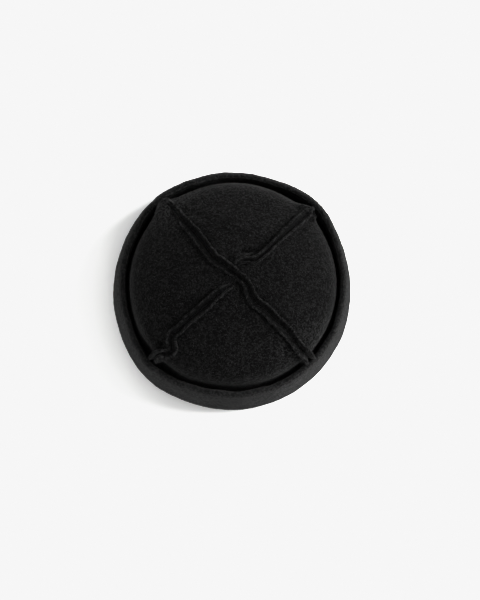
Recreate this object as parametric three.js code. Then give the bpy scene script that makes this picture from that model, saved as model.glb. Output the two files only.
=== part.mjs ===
// A brimless boiled-wool cap: a low crown of four felt panels whose seam allowances are turned
// outwards in a cross, standing in a doubled felt cuff that is turned up around it.
// Units are millimetres, +Z is up, and the cap stands rim down on the plane z = 0.

import * as THREE from 'three';

// ---- Driving dimensions -------------------------------------------------------------------

const FELT = 2.2;              // thickness of the boiled wool
const PANEL_GAP = 0.4;         // slit left between two panels along their seam
const FLANGE_FELT = 2.0;       // a seam allowance is pressed a little thinner

const CROWN_DEPTH_RATIO = 1.026;   // the crown is slightly longer from front to back
const CROWN_CORNER_POWER = 6;      // how tightly a panel stays round before its corners
const CUFF_DEPTH_RATIO = 1.012;

const APEX = new THREE.Vector2(4.0, 1.4);   // where the seams cross, off the middle
const APEX_FADE = 20;                        // distance over which that offset dies out
const TOP_SHIFT = 1.5;                       // crown and rim lean this far towards +X
const RIM_HEIGHT = 40;
const SHOULDER_OUT = 88;                     // nominal radius at a crown corner

// One row for each level from the crossing of the seams, over the crown and down its wall.
// seamOut, seamUp: the seam line; midOut, midUp: the middle of a panel; rise: how far the
// turned-out allowance stands off the felt; lean: how far it lies back over its own panel;
// nub: share of a corner's extra reach; the last four are the sideways wander of each seam.
const LEVELS = [
  { seamOut: 0.9, seamUp: 64.5, midOut: 0.9, midUp: 64.5, rise: 3.2, lean: 3.0, nub: 0,
    backRight: 0.0, backLeft: 0.0, frontLeft: 0.0, frontRight: 0.0 },
  { seamOut: 10, seamUp: 64.2, midOut: 9, midUp: 64.2, rise: 3.3, lean: 3.1, nub: 0,
    backRight: 3.6, backLeft: 0.4, frontLeft: 2.6, frontRight: 3.0 },
  { seamOut: 20, seamUp: 63.6, midOut: 18.5, midUp: 63.7, rise: 3.4, lean: 3.2, nub: 0,
    backRight: -1.3, backLeft: 0.1, frontLeft: 3.8, frontRight: 1.5 },
  { seamOut: 31, seamUp: 62.5, midOut: 29, midUp: 62.7, rise: 3.4, lean: 3.2, nub: 0,
    backRight: -4.8, backLeft: -0.4, frontLeft: 2.9, frontRight: -0.3 },
  { seamOut: 46, seamUp: 59.9, midOut: 43.5, midUp: 60.6, rise: 3.4, lean: 3.2, nub: 0,
    backRight: -3.9, backLeft: -1.1, frontLeft: 1.2, frontRight: 1.6 },
  { seamOut: 60, seamUp: 56.3, midOut: 57, midUp: 57.6, rise: 3.4, lean: 3.2, nub: 0,
    backRight: -3.1, backLeft: -2.2, frontLeft: -0.7, frontRight: 2.4 },
  { seamOut: 70, seamUp: 52.9, midOut: 67, midUp: 54.6, rise: 3.5, lean: 3.2, nub: 0,
    backRight: -2.6, backLeft: -3.0, frontLeft: -0.4, frontRight: 2.1 },
  { seamOut: 78, seamUp: 50.0, midOut: 74.5, midUp: 51.6, rise: 3.6, lean: 3.2, nub: 0,
    backRight: -1.8, backLeft: -2.0, frontLeft: 2.0, frontRight: 1.2 },
  { seamOut: 83.4, seamUp: 47.4, midOut: 80, midUp: 47.8, rise: 3.4, lean: 3.3, nub: 0.5,
    backRight: -0.8, backLeft: -0.8, frontLeft: 0.8, frontRight: 0.6 },
  { seamOut: 86.2, seamUp: 44.3, midOut: 83, midUp: 43.2, rise: 2.6, lean: 3.4, nub: 1,
    backRight: 0, backLeft: -0.2, frontLeft: -0.2, frontRight: 0 },
  { seamOut: 85.1, seamUp: 40.8, midOut: 84, midUp: 38.5, rise: 2.1, lean: 3.7, nub: 0.1,
    backRight: 0, backLeft: 0, frontLeft: 0, frontRight: 0 },
  { seamOut: 84.0, seamUp: 34, midOut: 84.2, midUp: 32, rise: 2.1, lean: 3.8, nub: 0,
    backRight: 0, backLeft: 0, frontLeft: 0, frontRight: 0 },
  { seamOut: 85.4, seamUp: 19, midOut: 86.3, midUp: 18, rise: 2.1, lean: 3.8, nub: 0,
    backRight: 0, backLeft: 0, frontLeft: 0, frontRight: 0 },
  { seamOut: 88.6, seamUp: 4, midOut: 88.8, midUp: 4, rise: 2.1, lean: 3.8, nub: 0,
    backRight: 0, backLeft: 0, frontLeft: 0, frontRight: 0 },
];
const STEPS_PER_LEVEL = 2;
const PANEL_COLUMNS = 10;      // strips across a panel between its two creases

// The four seams, anticlockwise from the back right: the direction each runs in, how much
// further its allowances reach at the corner, and how far it pushes the cuff outwards.
const SEAMS = {
  backRight: { angle: 44, nubReach: 1.6, cuffPush: 4.2 },
  backLeft: { angle: 131.5, nubReach: 1.6, cuffPush: 2.5 },
  frontLeft: { angle: 225.7, nubReach: 2.4, cuffPush: 4.2 },
  frontRight: { angle: 312.5, nubReach: 4.4, cuffPush: 0 },
};
const CUFF_PUSH_SPREAD = 17;   // degrees either side over which a push dies away

// Closed section of the turned-up cuff, anticlockwise from its inner foot, as radius and
// height: a flat foot, the outer face swelling low down, the rolled rim and the inner face.
// push is the share of a seam's push that each corner of the section takes.
const CUFF_SECTION = [
  { out: 88.3, up: 1.4, push: 0 },
  { out: 89.6, up: 0, push: 0 },
  { out: 94.2, up: 0, push: 0.1 },
  { out: 96.8, up: 3, push: 0.35 },
  { out: 98.0, up: 10.5, push: 0.6 },
  { out: 96.9, up: 22, push: 0.75 },
  { out: 93.9, up: 34.5, push: 0.95 },
  { out: 92.5, up: 38.8, push: 1 },
  { out: 90.3, up: RIM_HEIGHT, push: 1 },
  { out: 88.3, up: 38.6, push: 1 },
  { out: 88.1, up: 34.5, push: 0.95 },
  { out: 89.9, up: 22, push: 0.75 },
  { out: 92.6, up: 11, push: 0.6 },
  { out: 92.4, up: 5.2, push: 0.2 },
  { out: 91.0, up: 3.4, push: 0 },
  { out: 88.6, up: 3.4, push: 0 },
];
const CUFF_STEPS = 72;

const CHARCOAL_WOOL = { color: 0x16161a, roughness: 0.95, metalness: 0 };

// ---- Helpers ------------------------------------------------------------------------------

const degrees = THREE.MathUtils.degToRad;
const lerp = THREE.MathUtils.lerp;

// Smooth value between the middle two of four neighbouring table rows.
function betweenRows(before, start, end, after, fraction) {
  const slopeIn = (end - before) / 2;
  const slopeOut = (after - start) / 2;
  const square = fraction * fraction;
  const cube = square * fraction;
  return (2 * cube - 3 * square + 1) * start + (cube - 2 * square + fraction) * slopeIn
    + (3 * square - 2 * cube) * end + (cube - square) * slopeOut;
}

// All columns of the LEVELS table at a place between its rows.
function levelAt(place) {
  const last = LEVELS.length - 1;
  const index = Math.min(Math.floor(place), last - 1);
  const row = (offset) => LEVELS[THREE.MathUtils.clamp(index + offset, 0, last)];
  const level = {};
  for (const key of Object.keys(LEVELS[0])) {
    level[key] = betweenRows(
      row(-1)[key], row(0)[key], row(1)[key], row(2)[key], place - index);
  }
  return level;
}

// Middle of the crown at a level: it starts at the crossing and settles into the lean.
function crownMiddle(level) {
  const fade = Math.max(0, 1 - level.seamOut / APEX_FADE);
  const lean = TOP_SHIFT * Math.min(level.seamOut / SHOULDER_OUT, level.seamUp / RIM_HEIGHT, 1);
  return APEX.clone().multiplyScalar(fade).add(new THREE.Vector2(lean, 0));
}

// Polar angle and radius of a seam about the crown's middle at a level.
function seamPolar(seamName, level) {
  const direction = degrees(SEAMS[seamName].angle);
  const wander = level[seamName];
  return {
    angle: direction + Math.atan2(wander, level.seamOut),
    radius: Math.hypot(wander, level.seamOut),
  };
}

// A point of the crown's outer face: across runs from -1 at one seam to 1 at the next.
function crownPoint(panel, across, place) {
  const level = levelAt(place);
  const start = seamPolar(panel.from, level);
  const end = seamPolar(panel.to, level);
  const sweep = THREE.MathUtils.euclideanModulo(end.angle - start.angle, 2 * Math.PI);
  const angle = start.angle + sweep * (across + 1) / 2;
  const corner = Math.abs(across) ** CROWN_CORNER_POWER;
  const seamRadius = across < 0 ? start.radius : end.radius;
  const oval = Math.hypot(Math.cos(angle), CROWN_DEPTH_RATIO * Math.sin(angle));
  const radius = lerp(level.midOut * oval, seamRadius, corner);
  const middle = crownMiddle(level);
  return new THREE.Vector3(
    middle.x + radius * Math.cos(angle),
    middle.y + radius * Math.sin(angle),
    lerp(level.midUp, level.seamUp, corner),
  );
}

// Directions at a point of the crown: down the meridian, sideways, and out of the felt.
function crownFrame(panel, across, place) {
  const step = 0.05;
  const last = LEVELS.length - 1;
  const above = crownPoint(panel, across, Math.max(place - step, 0));
  const below = crownPoint(panel, across, Math.min(place + step, last));
  const down = below.sub(above).normalize();
  const point = crownPoint(panel, across, place);
  const middle = crownMiddle(levelAt(place));
  const radial = new THREE.Vector3(point.x - middle.x, point.y - middle.y, 0).normalize();
  const sideways = new THREE.Vector3(-radial.y, radial.x, 0);
  const outwards = new THREE.Vector3().crossVectors(down, sideways).normalize();
  return { point, down, outwards };
}

// Builds a closed mesh from a flat list of corner points and triangles of their indices.
function closedMesh(name, points, triangles) {
  const geometry = new THREE.BufferGeometry();
  geometry.setAttribute('position', new THREE.Float32BufferAttribute(
    points.flatMap((point) => point.toArray()), 3));
  geometry.setIndex(triangles.flat());
  geometry.computeVertexNormals();
  const mesh = new THREE.Mesh(geometry, new THREE.MeshStandardMaterial(CHARCOAL_WOOL));
  mesh.name = name;
  return mesh;
}

// Triangles of the skin between closed rings of equal length that follow one another.
function skin(ringCount, ringSize, joinLastToFirst) {
  const triangles = [];
  const bands = joinLastToFirst ? ringCount : ringCount - 1;
  for (let ring = 0; ring < bands; ring += 1) {
    const next = (ring + 1) % ringCount;
    for (let corner = 0; corner < ringSize; corner += 1) {
      const beside = (corner + 1) % ringSize;
      const a = ring * ringSize + corner;
      const b = ring * ringSize + beside;
      const c = next * ringSize + beside;
      const d = next * ringSize + corner;
      triangles.push([a, d, c], [a, c, b]);
    }
  }
  return triangles;
}

// ---- Crown panels -------------------------------------------------------------------------

// The two free corners and the crease of a seam allowance that is turned out over its panel.
// side is 1 where the panel lies anticlockwise of the seam, and -1 where it lies clockwise.
function allowance(panel, side, place, room) {
  const level = levelAt(place);
  const seamName = side > 0 ? panel.from : panel.to;
  const { point, down, outwards } = crownFrame(panel, -side, place);
  const inwards = new THREE.Vector3().crossVectors(outwards, down).multiplyScalar(side);
  const shrink = Math.min(1, room / (2.2 * (level.lean + FLANGE_FELT)));
  const lean = level.lean * shrink;
  const rise = (level.rise + level.nub * SEAMS[seamName].nubReach) * shrink;
  const felt = FLANGE_FELT * shrink;
  const length = Math.hypot(lean, rise);
  const at = (across, up) => point.clone()
    .addScaledVector(inwards, across + PANEL_GAP / 2)
    .addScaledVector(outwards, up);
  return {
    seamBack: at(0, -FELT),
    seamEdge: at(0, 0),
    innerTip: at(lean, rise),
    outerTip: at(lean + felt * rise / length, rise - felt * lean / length),
    creaseAcross: felt * length / rise + PANEL_GAP / 2,
  };
}

// One row of a panel: its outer and inner face from seam to seam, and both allowances.
function panelRow(panel, place) {
  const level = levelAt(place);
  const start = seamPolar(panel.from, level);
  const end = seamPolar(panel.to, level);
  const sweep = THREE.MathUtils.euclideanModulo(end.angle - start.angle, 2 * Math.PI);
  const width = sweep * level.midOut;
  const first = allowance(panel, 1, place, width);
  const second = allowance(panel, -1, place, width);
  const share = (distance) => 2 * distance / width;
  const fromCrease = -1 + share(first.creaseAcross);
  const toCrease = 1 - share(second.creaseAcross);
  const outer = [first.seamEdge];
  const inner = [first.seamBack];
  for (let column = 0; column <= PANEL_COLUMNS; column += 1) {
    const across = lerp(fromCrease, toCrease, column / PANEL_COLUMNS);
    const { point, outwards } = crownFrame(panel, across, place);
    outer.push(point);
    inner.push(point.clone().addScaledVector(outwards, -FELT));
  }
  outer.push(second.seamEdge);
  inner.push(second.seamBack);
  return { outer, inner, first, second };
}

function crownPanel(panel) {
  const rowCount = (LEVELS.length - 1) * STEPS_PER_LEVEL + 1;
  const points = [];
  for (let row = 0; row < rowCount; row += 1) {
    const { outer, inner, first, second } = panelRow(panel, row / STEPS_PER_LEVEL);
    const seamEdge = outer.length - 1;
    points.push(
      outer[0], first.innerTip, first.outerTip,
      ...outer.slice(1, seamEdge),
      second.outerTip, second.innerTip, outer[seamEdge],
      ...inner.reverse(),
    );
  }
  const columns = PANEL_COLUMNS + 3;
  const ringSize = 2 * columns + 4;
  const triangles = skin(rowCount, ringSize, false);
  const lastRing = (rowCount - 1) * ringSize;
  for (const [ring, order] of [[0, 1], [lastRing, -1]]) {
    const cap = (a, b, c) => triangles.push(
      order > 0 ? [ring + a, ring + b, ring + c] : [ring + a, ring + c, ring + b]);
    const outerAt = (column) => {
      if (column === 0) return 0;
      return column === columns - 1 ? columns + 3 : column + 2;
    };
    const innerAt = (column) => ringSize - 1 - column;
    for (let column = 0; column < columns - 1; column += 1) {
      cap(outerAt(column), outerAt(column + 1), innerAt(column));
      cap(outerAt(column + 1), innerAt(column + 1), innerAt(column));
    }
    cap(0, 1, 2);
    cap(0, 2, 3);
    cap(columns, columns + 1, columns + 2);
    cap(columns, columns + 2, columns + 3);
  }
  return closedMesh(panel.name, points, triangles);
}

const PANELS = [
  { name: 'crown_panel_right', from: 'frontRight', to: 'backRight' },
  { name: 'crown_panel_back', from: 'backRight', to: 'backLeft' },
  { name: 'crown_panel_left', from: 'backLeft', to: 'frontLeft' },
  { name: 'crown_panel_front', from: 'frontLeft', to: 'frontRight' },
];

// ---- Cuff ---------------------------------------------------------------------------------

// How far the seams behind the cuff push it outwards in a direction.
function cuffPush(angle) {
  let push = 0;
  for (const seam of Object.values(SEAMS)) {
    const turn = angle - degrees(seam.angle);
    const away = Math.atan2(Math.sin(turn), Math.cos(turn));
    push += seam.cuffPush * Math.exp(-((away / degrees(CUFF_PUSH_SPREAD)) ** 2));
  }
  return push;
}

function cuff() {
  const points = [];
  for (let step = 0; step < CUFF_STEPS; step += 1) {
    const angle = 2 * Math.PI * step / CUFF_STEPS;
    for (const corner of CUFF_SECTION) {
      const oval = Math.hypot(Math.cos(angle), CUFF_DEPTH_RATIO * Math.sin(angle));
      const radius = corner.out * oval + cuffPush(angle) * corner.push;
      points.push(new THREE.Vector3(
        TOP_SHIFT * corner.up / RIM_HEIGHT + radius * Math.cos(angle),
        radius * Math.sin(angle),
        corner.up,
      ));
    }
  }
  return closedMesh('cuff', points, skin(CUFF_STEPS, CUFF_SECTION.length, true));
}

// ---- The cap ------------------------------------------------------------------------------

const cap = new THREE.Group();
for (const panel of PANELS) {
  cap.add(crownPanel(panel));
}
cap.add(cuff());

// The origin is the middle of the whole cap's footprint.
const footprint = new THREE.Box3().setFromObject(cap).getCenter(new THREE.Vector3());
cap.position.set(-footprint.x, -footprint.y, 0);

export default cap;
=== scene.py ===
# %% [markdown]
# # A boiled-wool cap with a turned-up cuff
#
# The cap is four felt panels sewn together with their seam allowances on the outside, so that
# two crossing seams stand up from the crown as pairs of ridges. A doubled band of the same felt
# is turned up around it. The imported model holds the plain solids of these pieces; this script
# makes the felt itself: every panel with its turned-out edges, the folded band, the thread in
# the seams and the raised nap.
#
# Everything is in metres in the model's own frame. The tables that describe the felt are in
# millimetres, which is how a hatter would measure it, and `MM` turns them into metres.

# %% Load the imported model
import math

import bpy
import numpy as np
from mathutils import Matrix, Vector, noise


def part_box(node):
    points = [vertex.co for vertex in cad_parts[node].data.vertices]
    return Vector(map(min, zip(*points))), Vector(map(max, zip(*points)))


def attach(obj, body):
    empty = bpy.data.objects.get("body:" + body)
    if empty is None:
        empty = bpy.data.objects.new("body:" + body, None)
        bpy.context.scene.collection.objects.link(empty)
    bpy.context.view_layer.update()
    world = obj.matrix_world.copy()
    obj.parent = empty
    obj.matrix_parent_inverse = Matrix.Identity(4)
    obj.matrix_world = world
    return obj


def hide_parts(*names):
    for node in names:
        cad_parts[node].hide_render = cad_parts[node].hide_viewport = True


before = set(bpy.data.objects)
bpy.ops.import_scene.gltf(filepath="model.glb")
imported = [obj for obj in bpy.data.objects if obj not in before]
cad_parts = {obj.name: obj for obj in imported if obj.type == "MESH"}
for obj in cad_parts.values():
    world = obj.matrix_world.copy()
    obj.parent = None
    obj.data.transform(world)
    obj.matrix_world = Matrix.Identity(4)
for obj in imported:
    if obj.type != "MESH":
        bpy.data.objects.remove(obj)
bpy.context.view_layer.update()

MM = 0.001
cuff_low, cuff_high = (np.array(corner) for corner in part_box("cuff"))
print("cuff, mm:", np.round((cuff_high - cuff_low) / MM, 1))

# %% [markdown]
# ## The setting
#
# The cap stands on a plain white table under soft light. A hat like this is nearly black, so
# the light has one job: to graze the felt from the right and draw the ridges. The camera looks
# down steeply, 13 degrees off the vertical, from a metre and a half away.

# %% Camera
CAMERA_HEIGHT_ANGLE = math.radians(77)
CAMERA_DISTANCE = 1.5
CAMERA_LENS = 108
AIM = Vector((0.00717, -0.00513, 0))      # where it looks, from the middle of the cap's foot, m

camera = bpy.data.objects.new("camera", bpy.data.cameras.new("camera"))
bpy.context.scene.collection.objects.link(camera)
camera.data.lens = CAMERA_LENS
towards_camera = Vector((0, -math.cos(CAMERA_HEIGHT_ANGLE), math.sin(CAMERA_HEIGHT_ANGLE)))
camera.rotation_mode = "QUATERNION"
camera.rotation_quaternion = (-towards_camera).to_track_quat("-Z", "Y")
bpy.context.scene.camera = camera
print("camera looks along:", [round(value, 3) for value in -towards_camera])

# %% [markdown]
# Felt has no formula, so every shape here is a short table of measures, as a pattern cutter
# would write it. Straight lines between the rows would show as facets; a smooth curve through
# them, with its slope at each row taken from the neighbours, doesn't.

# %% Smooth tables
def smooth_table(rows, at):
    """Reads a table whose first column says where, smoothly between its rows."""
    table = np.array(rows, dtype=float)
    knots, values = table[:, 0], table[:, 1:]
    slopes = np.gradient(values, knots, axis=0)
    at = np.clip(at, knots[0], knots[-1])
    row = np.clip(np.searchsorted(knots, at, side="right") - 1, 0, len(knots) - 2)
    gap = (knots[row + 1] - knots[row])[..., None]
    t = (at - knots[row])[..., None] / gap
    return ((2 * t**3 - 3 * t**2 + 1) * values[row] + (t**3 - 2 * t**2 + t) * gap * slopes[row]
            + (3 * t**2 - 2 * t**3) * values[row + 1] + (t**3 - t**2) * gap * slopes[row + 1])


def columns(table):
    """The columns of a smooth table as separate arrays."""
    return np.moveaxis(table, -1, 0)


print("a third of the way from 0 to 9:", smooth_table([(0, 0), (1, 9)], np.array(1 / 3))[0])

# %% [markdown]
# The middle of the cuff's foot isn't quite the origin, because the corners of the crown push
# the cuff out further on one side. So the cuff is shaped as numbers before anything is placed.
# Each corner's push is a smooth bump in the direction of its seam.

# %% Seam directions
PUSH_SPREAD = 17            # degrees over which a corner's push on the cuff dies away

# direction of each seam, anticlockwise from the right, and its push on the cuff
SEAM_ANGLE = {"back_right": 44, "back_left": 131.5, "front_left": 225.7, "front_right": 312.5}
CUFF_PUSH = {"back_right": 4.2, "back_left": 2.5, "front_left": 4.2, "front_right": 0}


def cuff_push(angle):
    """How far the corners of the crown push the cuff out in a direction, in millimetres."""
    push = np.zeros_like(angle)
    for seam, reach in CUFF_PUSH.items():
        turn = angle - math.radians(SEAM_ANGLE[seam])
        away = np.degrees(np.arctan2(np.sin(turn), np.cos(turn)))
        push += reach * np.exp(-((away / PUSH_SPREAD) ** 2))
    return push


seam_directions = np.radians(list(SEAM_ANGLE.values()))
print("push at each seam, mm:", np.round(cuff_push(seam_directions), 1))

# %% [markdown]
# The cuff's section is the line that the felt's middle follows. The band starts under the
# crown's lower edge, turns up, folds over at the rim and comes down inside again. Comparing the
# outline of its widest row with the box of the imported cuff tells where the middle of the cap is.

# %% Fold of the cuff
TOP_SHIFT = 1.5             # the crown and the rim lean this far to the right, mm
RIM_UP = 40.0               # height of the cuff's rim, mm
CUFF_DEPTH_RATIO = 1.012    # the cuff is a little longer from front to back
WIDEST_OUT, WIDEST_UP, WIDEST_PUSH = 98.0, 10.5, 0.6

# row, middle of the felt out and up, share that it takes of a corner's push
CUFF_FOLD = [
    (0, 89.3, 1.25, 0), (1, 91.5, 1.1, 0), (2, 93.8, 1.15, 0.05), (3, 95.3, 2.4, 0.2),
    (4, 96.2, 5.5, 0.4), (5, 96.9, 10.5, 0.6), (6, 96.5, 16, 0.68), (7, 95.6, 22, 0.75),
    (8, 94.1, 29, 0.85), (9, 92.7, 34.2, 0.95), (10, 91.9, 37.0, 1), (11, 90.4, 38.7, 1),
    (12, 88.9, 37.2, 1), (13, 88.5, 34.5, 0.95), (14, 89.1, 28, 0.85), (15, 90.5, 22, 0.75),
    (16, 92.2, 16, 0.68), (17, 93.5, 11, 0.6), (18, 93.7, 7, 0.3), (19, 93.5, 3.6, 0.1),
]


def cuff_point(angle, out, up, push):
    """A point of the cuff in millimetres, measured from the middle of its foot."""
    oval = np.hypot(np.cos(angle), CUFF_DEPTH_RATIO * np.sin(angle))
    radius = out * oval + cuff_push(angle) * push
    x = TOP_SHIFT * up / RIM_UP + radius * np.cos(angle)
    return np.stack(np.broadcast_arrays(x, radius * np.sin(angle), up), axis=-1)


every_half_degree = np.linspace(0, 2 * np.pi, 720, endpoint=False)
outline = cuff_point(every_half_degree, WIDEST_OUT, WIDEST_UP, WIDEST_PUSH)
outline_middle = (outline.min(axis=0) + outline.max(axis=0)) / 2
cap_middle = (cuff_low + cuff_high)[:2] / 2 / MM - outline_middle[:2]
print("middle of the foot, mm:", np.round(cap_middle, 2))

# %% [markdown]
# Now the camera can be put in its place. It looks a few millimetres past the middle of the foot,
# so that the cap sits in the frame with even margins.

# %% Aim the camera
foot = Vector((cap_middle[0] * MM, cap_middle[1] * MM, 0))
camera.location = foot + AIM + towards_camera * CAMERA_DISTANCE
print("camera at, m:", [round(value, 3) for value in camera.location])

# %% [markdown]
# The table is one plane, large enough that its edges never show. It has the plainest material
# there is, one colour and one roughness, which is also where every finer material starts. The
# table is staging and not part of the cap.

# %% Table
TABLE_SIZE = 6.0
TABLE_WHITE = (0.9, 0.9, 0.895, 1)


def plain_material(name, colour, roughness):
    """One colour and one roughness, as a start for the finer materials."""
    material = bpy.data.materials.new(name)
    material.use_nodes = True
    shader = material.node_tree.nodes["Principled BSDF"]
    shader.inputs["Base Color"].default_value = colour
    shader.inputs["Roughness"].default_value = roughness
    return material


bpy.ops.mesh.primitive_plane_add(size=TABLE_SIZE)
table_top = bpy.context.object
table_top.name = "table_top"
table_top.data.materials.append(plain_material("white_table", TABLE_WHITE, roughness=0.9))
print("table is", TABLE_SIZE, "m wide")

# %% [markdown]
# The air stands for the light that white walls send back from all sides. Evenly bright air would
# flatten the folds, so it is brighter at the height of the table and fades overhead. In Blender
# that is a few nodes in the world's node tree; one helper makes a node and joins up its inputs.

# %% Air
AIR_OVERHEAD = 0.28         # brightness of the air straight up
AIR_AT_HORIZON = 0.42       # and at the height of the table
AIR_FADES_UP_TO = 0.8       # height on the sky, from 0 to 1, where it has its overhead brightness


def add_node(tree, kind, inputs, **settings):
    """A new node; each of its inputs is a value or the output of another node."""
    node = tree.nodes.new("ShaderNode" + kind)
    for setting, value in settings.items():
        setattr(node, setting, value)
    for socket, value in inputs.items():
        if isinstance(value, bpy.types.NodeSocket):
            tree.links.new(value, node.inputs[socket])
        else:
            node.inputs[socket].default_value = value
    return node


world = bpy.data.worlds.new("studio_air")
bpy.context.scene.world = world
world.use_nodes = True
air = world.node_tree
direction = add_node(air, "TexCoord", {})
height = add_node(air, "SeparateXYZ", {0: direction.outputs["Generated"]})
fade = add_node(air, "MapRange", {"Value": height.outputs["Z"], "From Max": AIR_FADES_UP_TO,
                                  "To Min": AIR_AT_HORIZON, "To Max": AIR_OVERHEAD})
air.links.new(fade.outputs["Result"], air.nodes["Background"].inputs["Strength"])
air.nodes["Background"].inputs["Color"].default_value = (1, 1, 1, 1)
print("air fades from", AIR_AT_HORIZON, "to", AIR_OVERHEAD)

# %% [markdown]
# Three square lights do the rest. A small light would draw a hard shadow on the table, and a
# huge one no ridges at all; a square of a bit over a metre does both softly. The key light stands
# at the right and a little behind, the two fills are weak and low over the table.

# %% Lights
LIGHT_DISTANCE = 1.8

# direction round the cap and height angle in degrees, size in metres, power
LIGHTS = {
    "key_light": (12, 22, 1.15, 38),
    "fill_front": (262, 12, 1.2, 9.2),
    "fill_back": (122, 12, 1.2, 4),
}


def soft_light(name, turn, height_angle, size, power):
    """A square area light that looks at the cap from a direction."""
    light = bpy.data.objects.new(name, bpy.data.lights.new(name, "AREA"))
    bpy.context.scene.collection.objects.link(light)
    light.data.shape = "SQUARE"
    light.data.size = size
    light.data.energy = power
    turn, height_angle = math.radians(turn), math.radians(height_angle)
    level = math.cos(height_angle)
    towards_light = Vector((math.cos(turn) * level, math.sin(turn) * level, math.sin(height_angle)))
    light.location = LIGHT_DISTANCE * towards_light
    light.rotation_euler = (-light.location).to_track_quat("-Z", "Y").to_euler()


for light_name, (turn, height_angle, size, power) in LIGHTS.items():
    soft_light(light_name, turn, height_angle, size, power)
print("lights:", ", ".join(LIGHTS))

# %% [markdown]
# A white table next to black felt has more contrast than a picture can hold. As a printer would,
# the picture is developed with a curve that leaves the dark felt as it is and lets the lit table
# run up to paper white. The curve's steep part also keeps the shadow short.

# %% Develop the picture
PAPER_WHITE = 0.922
DEVELOPED = [(0.1, 0.1), (0.225, 0.55), (0.26, 0.67), (0.3, 0.88), (0.32, PAPER_WHITE),
             (1, PAPER_WHITE)]

settings = bpy.context.scene.view_settings
settings.view_transform = "Standard"
settings.use_curve_mapping = True
whole = settings.curve_mapping.curves[3]
for place in DEVELOPED[:-1]:
    whole.points.new(*place)
whole.points[-1].location = DEVELOPED[-1]
for point in whole.points:
    point.handle_type = "VECTOR"
settings.curve_mapping.update()
print("curve:", [tuple(round(value, 3) for value in point.location) for point in whole.points])

# %% [markdown]
# ## The wool
#
# Boiled wool is knitted, then shrunk until the fibres mat together. What is left is a dense,
# matt surface: no weave, but a mottling of darker pits and paler tufts a millimetre or two
# across, and a haze of fibre ends that lightens the felt wherever it is seen edge-on. A plain
# dark colour would miss that haze, so the material has a sheen. The mottling drives both the
# colour and the bump, because in the cloth they are the same thing.

# %% Patterns in the wool
def position(tree):
    """Where a point lies on the piece; the node for it is made when it is first needed."""
    coordinates = tree.nodes.get("Texture Coordinate") or add_node(tree, "TexCoord", {})
    return coordinates.outputs["Object"]


def noise_pattern(tree, scale, detail, roughness, distortion=0.0):
    """Noise fixed to the piece; the scale is how many times it changes in a metre."""
    inputs = {"Vector": position(tree), "Scale": scale, "Detail": detail,
              "Roughness": roughness, "Distortion": distortion}
    return add_node(tree, "TexNoise", inputs).outputs["Fac"]


def math_step(tree, operation, *values):
    """One arithmetic step; its inputs are numbers or the outputs of other nodes."""
    return add_node(tree, "Math", dict(enumerate(values)), operation=operation).outputs[0]


def weighted_sum(tree, parts):
    """Adds patterns together, each times its weight."""
    total = 0.0
    for pattern, weight in parts:
        total = math_step(tree, "MULTIPLY_ADD", pattern, weight, total)
    return total


# %% [markdown]
# Light is painted into the felt's colour in two places. One is a paler band on the upright
# face of the cuff just below its rim, a painted highlight along the top of the wall. The other
# is paler patches on the corners and edges of the crown, painted highlights where the felt
# turns edge-on. Both are masks made from the position on the cap, so that no picture is needed.
# On the cuff the band also evens out the mottling; on the crown it only lightens it.

# %% Masks for painted highlights
RIM_HIGHLIGHT_SHARE = 0.25         # how much of the band is painted one even, paler shade, at most
RIM_HIGHLIGHT_BAND = (10, 34, 46)  # heights on the cuff, mm: from none to most and back to none
BAND_UNEVEN = 6             # how far the band wanders up and down, mm

# painted highlights on the crown: x, y and z in millimetres, reach, and how many times paler it
# gets, less one
CROWN_HIGHLIGHT_PLACES = [(63, 60, 48, 26, 0.5), (-56, 64, 48, 36, 2.2), (-60, -62, 46, 24, 1.1),
                 (60, -62, 48, 42, 1.2), (-38, 68, 50, 38, 0.9), (0, -82, 46, 30, 0.3),
                 (70, -35, 46, 30, 0.3)]


def smooth_step(tree, value, start, end):
    """Rises softly from 0 to 1 while the value goes from start to end."""
    inputs = {"Value": value, "From Min": start, "From Max": end}
    return add_node(tree, "MapRange", inputs, interpolation_type="SMOOTHSTEP").outputs["Result"]


def rim_highlight_mask(tree, mottle):
    """Mask of the painted highlight: strongest in a band round the cuff whose edges wander."""
    split = add_node(tree, "SeparateXYZ", {0: position(tree)})
    height = math_step(tree, "MULTIPLY_ADD", mottle, BAND_UNEVEN * MM, split.outputs["Z"])
    low, top, high = [(level + BAND_UNEVEN / 2) * MM for level in RIM_HIGHLIGHT_BAND]
    rise = smooth_step(tree, height, low, top)
    fall = smooth_step(tree, height, high, top)
    return math_step(tree, "MULTIPLY", math_step(tree, "MULTIPLY", rise, fall), RIM_HIGHLIGHT_SHARE)


def crown_highlight_mask(tree):
    """Strongest at each painted highlight on the crown and fading over its reach."""
    total = 0.0
    for x, y, z, reach, gain in CROWN_HIGHLIGHT_PLACES:
        place = np.array([x + cap_middle[0], y + cap_middle[1], z]) * MM
        inputs = {0: position(tree), 1: place.tolist()}
        distance = add_node(tree, "VectorMath", inputs, operation="DISTANCE")
        near = smooth_step(tree, distance.outputs["Value"], reach * MM, 0)
        total = math_step(tree, "MULTIPLY_ADD", near, gain, total)
    return total


# %% [markdown]
# A mask says where; how the painted highlight changes the colour is a second step. Lightening
# keeps the mottling and only raises it. Evening out mixes in one pale shade, as on the cuff
# below its rim, where the highlight is painted evenly over the pits.

# %% Colour of the painted highlights
RIM_HIGHLIGHT_COLOUR = 0.062       # how pale the evened part is


def paler(tree, colour, mask):
    """The colour, lighter in proportion to the mask."""
    inputs = {0: colour, "Scale": math_step(tree, "ADD", mask, 1.0)}
    return add_node(tree, "VectorMath", inputs, operation="SCALE").outputs["Vector"]


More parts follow.
